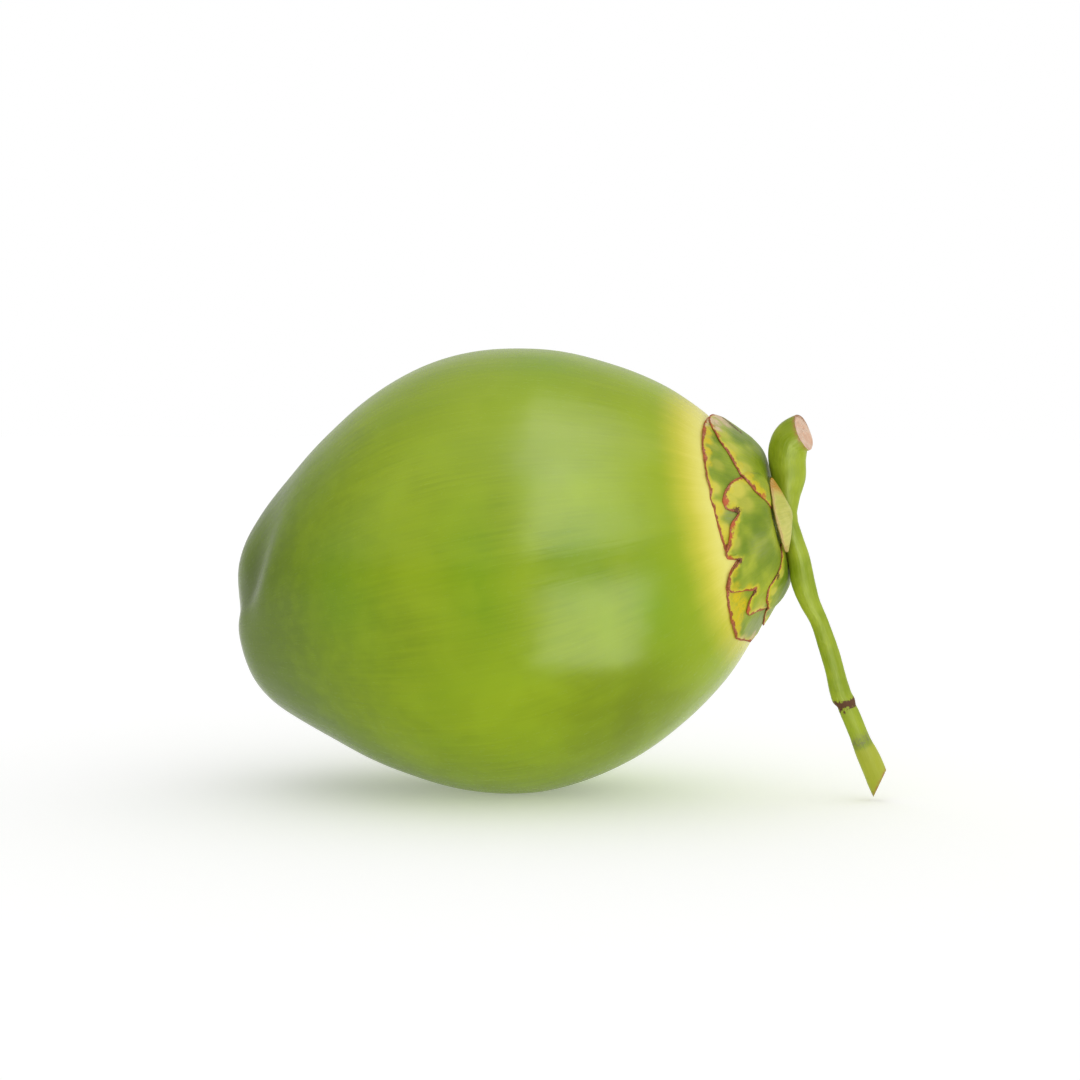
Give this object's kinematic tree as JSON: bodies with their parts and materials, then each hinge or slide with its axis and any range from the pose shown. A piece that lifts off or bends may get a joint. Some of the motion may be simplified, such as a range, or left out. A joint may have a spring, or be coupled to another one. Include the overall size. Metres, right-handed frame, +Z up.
{
  "type": "green coconut",
  "caption": "Whole young green coconut in its smooth husk, with overlapping leafy scales at the stem end and a short piece of cut branch; lies on its side.",
  "frame": {"origin": "middle of the small flat spot that the coconut rests on, on its underside", "axes": "+Z up from the floor; +X level, along the fruit's long axis from its blunt end towards the stem end, whose axis is raised by 12.5 degrees; +Y completes the right-handed frame, so the front as seen with the stem end to the right faces -Y"},
  "size_m": [0.2478, 0.1692, 0.168],
  "materials": {
    "husk": "smooth waxy green skin with faint lengthwise fibres, satin sheen, yellow next to the scales",
    "petal": "leathery green scale with a yellow band and a dry brown edge, satin",
    "sepal": "leathery green scale with a ragged, dry, reddish brown edge, satin",
    "bracteole": "thin pale yellow-green scale, matt",
    "rachilla": "smooth green stalk with a brown scar ring and pale pinkish cut ends, satin"
  },
  "bodies": {
    "root": {"husk": "husk", "petal_1": "petal", "petal_2": "petal", "petal_3": "petal", "sepal_1": "sepal", "sepal_2": "sepal", "sepal_3": "sepal", "bracteole_1": "bracteole", "bracteole_2": "bracteole", "rachilla": "rachilla"}
  },
  "joints": []
}
